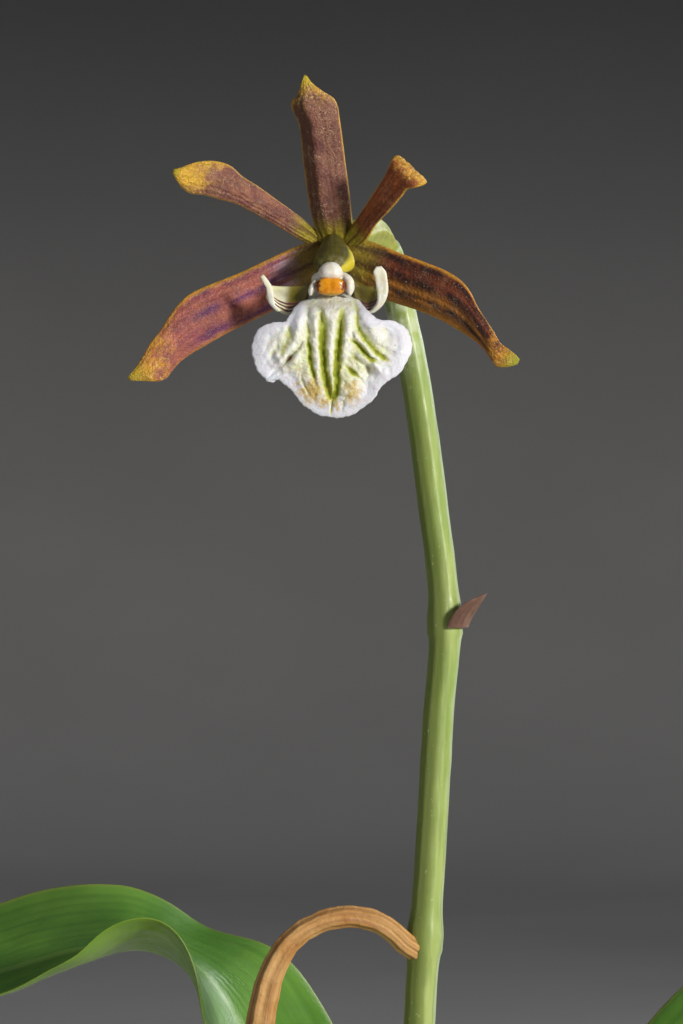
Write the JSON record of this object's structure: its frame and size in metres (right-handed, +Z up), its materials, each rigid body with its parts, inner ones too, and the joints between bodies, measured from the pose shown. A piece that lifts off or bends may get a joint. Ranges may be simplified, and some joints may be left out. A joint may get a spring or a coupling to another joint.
{
  "type": "potted orchid",
  "caption": "Small orchid in a plain clay pot: ribbed bulbs, arching strap leaves, and a slender stem with a brown open flower that has a broad white lip, and a dried flower below it",
  "frame": {"origin": "middle of the pot's flat underside", "axes": "+Z up along the pot's axis and the stem, -Y the way that the open flower faces, +X to its viewer's right"},
  "size_m": [0.1698, 0.1349, 0.2889],
  "materials": {
    "clay": "dry, rough unglazed clay with a little pale bloom",
    "bark": "rough dry bark chips",
    "rhizome": "dry scaly creeping stem",
    "bulb": "satin, ribbed, yellow green",
    "leaf": "satin green with a paler keel",
    "root": "silvery, spongy",
    "dry_sheath": "dry, papery and fibrous",
    "bract": "dry, brown and papery",
    "stem": "satin, fresh green",
    "dry_stalk": "dry tan stalk",
    "tepal": "velvety brown with purple veins and golden rims",
    "lip": "white, warty, with yellow-green grooves",
    "column": "waxy yellow green, white at its teeth",
    "anther_cap": "waxy orange with dark red ends"
  },
  "bodies": {
    "root": {"anther_cap": "anther_cap", "bark": "bark", "bract_lower": "bract", "bract_upper": "bract", "bulb_back": "bulb", "bulb_flowering": "bulb", "bulb_leading": "bulb", "bulb_new": "bulb", "bulb_oldest": "bulb", "bulb_second": "bulb", "column": "column", "dorsal_sepal": "tepal", "lateral_sepal_left": "tepal", "lateral_sepal_right": "tepal", "leaf_back_left": "leaf", "leaf_back_right": "leaf", "leaf_front_low": "leaf", "leaf_left_low": "leaf", "leaf_left_tall": "leaf", "leaf_new_inner": "leaf", "leaf_new_outer": "leaf", "leaf_right_low": "leaf", "leaf_right_tall": "leaf", "lip": "lip", "ovary": "stem", "petal_left": "tepal", "petal_right": "tepal", "pot": "clay", "rhizome": "rhizome", "root_back": "root", "root_front": "root", "root_left": "root", "root_over_rim": "root", "root_right": "root", "sheath_flowering": "dry_sheath", "sheath_leading": "dry_sheath", "sheath_new": "dry_sheath", "sheath_oldest": "dry_sheath", "sheath_second": "dry_sheath", "spent_flower": "dry_stalk", "spent_stalk": "dry_stalk", "stem": "stem", "stem_sheath": "dry_sheath"}
  },
  "joints": []
}
